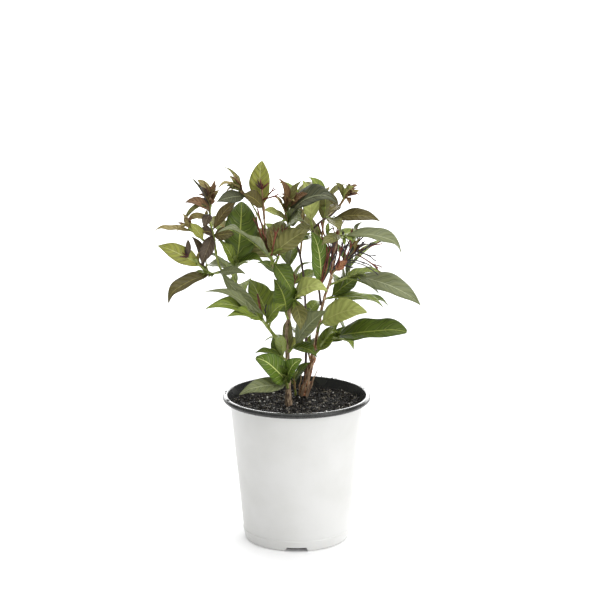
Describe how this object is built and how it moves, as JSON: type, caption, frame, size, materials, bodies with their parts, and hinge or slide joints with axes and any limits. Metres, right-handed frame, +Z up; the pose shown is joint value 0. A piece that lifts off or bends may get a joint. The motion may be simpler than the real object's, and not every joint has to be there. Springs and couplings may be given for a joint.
{
  "type": "potted weigela",
  "caption": "Young weigela shrub in a round nursery pot: four thin stems, green leaves with bronze shoot tips and spent flower stalks, rooted in dark potting mix.",
  "frame": {"origin": "middle of the flat underside of the pot", "axes": "+Z up along the pot's axis and the stems, +X to the right of the front view, -Y to the front"},
  "size_m": [0.2128, 0.1409, 0.3141],
  "materials": {
    "white_plastic": "satin",
    "potting_mix": "matte",
    "bark": "matte",
    "leaf_green": "satin",
    "leaf_olive": "satin",
    "leaf_bronze": "satin"
  },
  "bodies": {
    "root": {"bough_centre": "bark", "bough_left": "bark", "bough_right": "bark", "bough_top_left": "bark", "bough_upper_right": "bark", "flowers_right": "leaf_bronze", "foliage_back_inner": "leaf_green", "foliage_back_left": "leaf_green", "foliage_back_low": "leaf_green", "foliage_back_right": "leaf_green", "foliage_back_top": "leaf_bronze", "foliage_back_upper": "leaf_bronze", "foliage_big_leaf": "leaf_green", "foliage_centre": "leaf_green", "foliage_centre_back": "leaf_green", "foliage_dark_leaf": "leaf_green", "foliage_foot": "leaf_green", "foliage_foot_back": "leaf_green", "foliage_inner": "leaf_olive", "foliage_inner_dark": "leaf_green", "foliage_inner_low": "leaf_green", "foliage_left": "leaf_olive", "foliage_left_tip": "leaf_bronze", "foliage_low_front": "leaf_green", "foliage_low_left": "leaf_green", "foliage_low_left_back": "leaf_green", "foliage_right": "leaf_green", "foliage_right_far": "leaf_green", "foliage_right_inner": "leaf_green", "foliage_right_long": "leaf_bronze", "foliage_right_low": "leaf_green", "foliage_right_middle": "leaf_green", "foliage_right_olive": "leaf_olive", "foliage_top": "leaf_olive", "foliage_top_centre": "leaf_bronze", "foliage_top_left": "leaf_bronze", "foliage_top_right": "leaf_bronze", "foliage_upper_left": "leaf_bronze", "foliage_upper_middle": "leaf_olive", "pot": "white_plastic", "soil": "potting_mix", "stem_left": "bark", "stem_low": "bark", "stem_middle": "bark", "stem_right": "bark", "stub_left": "bark"}
  },
  "joints": []
}
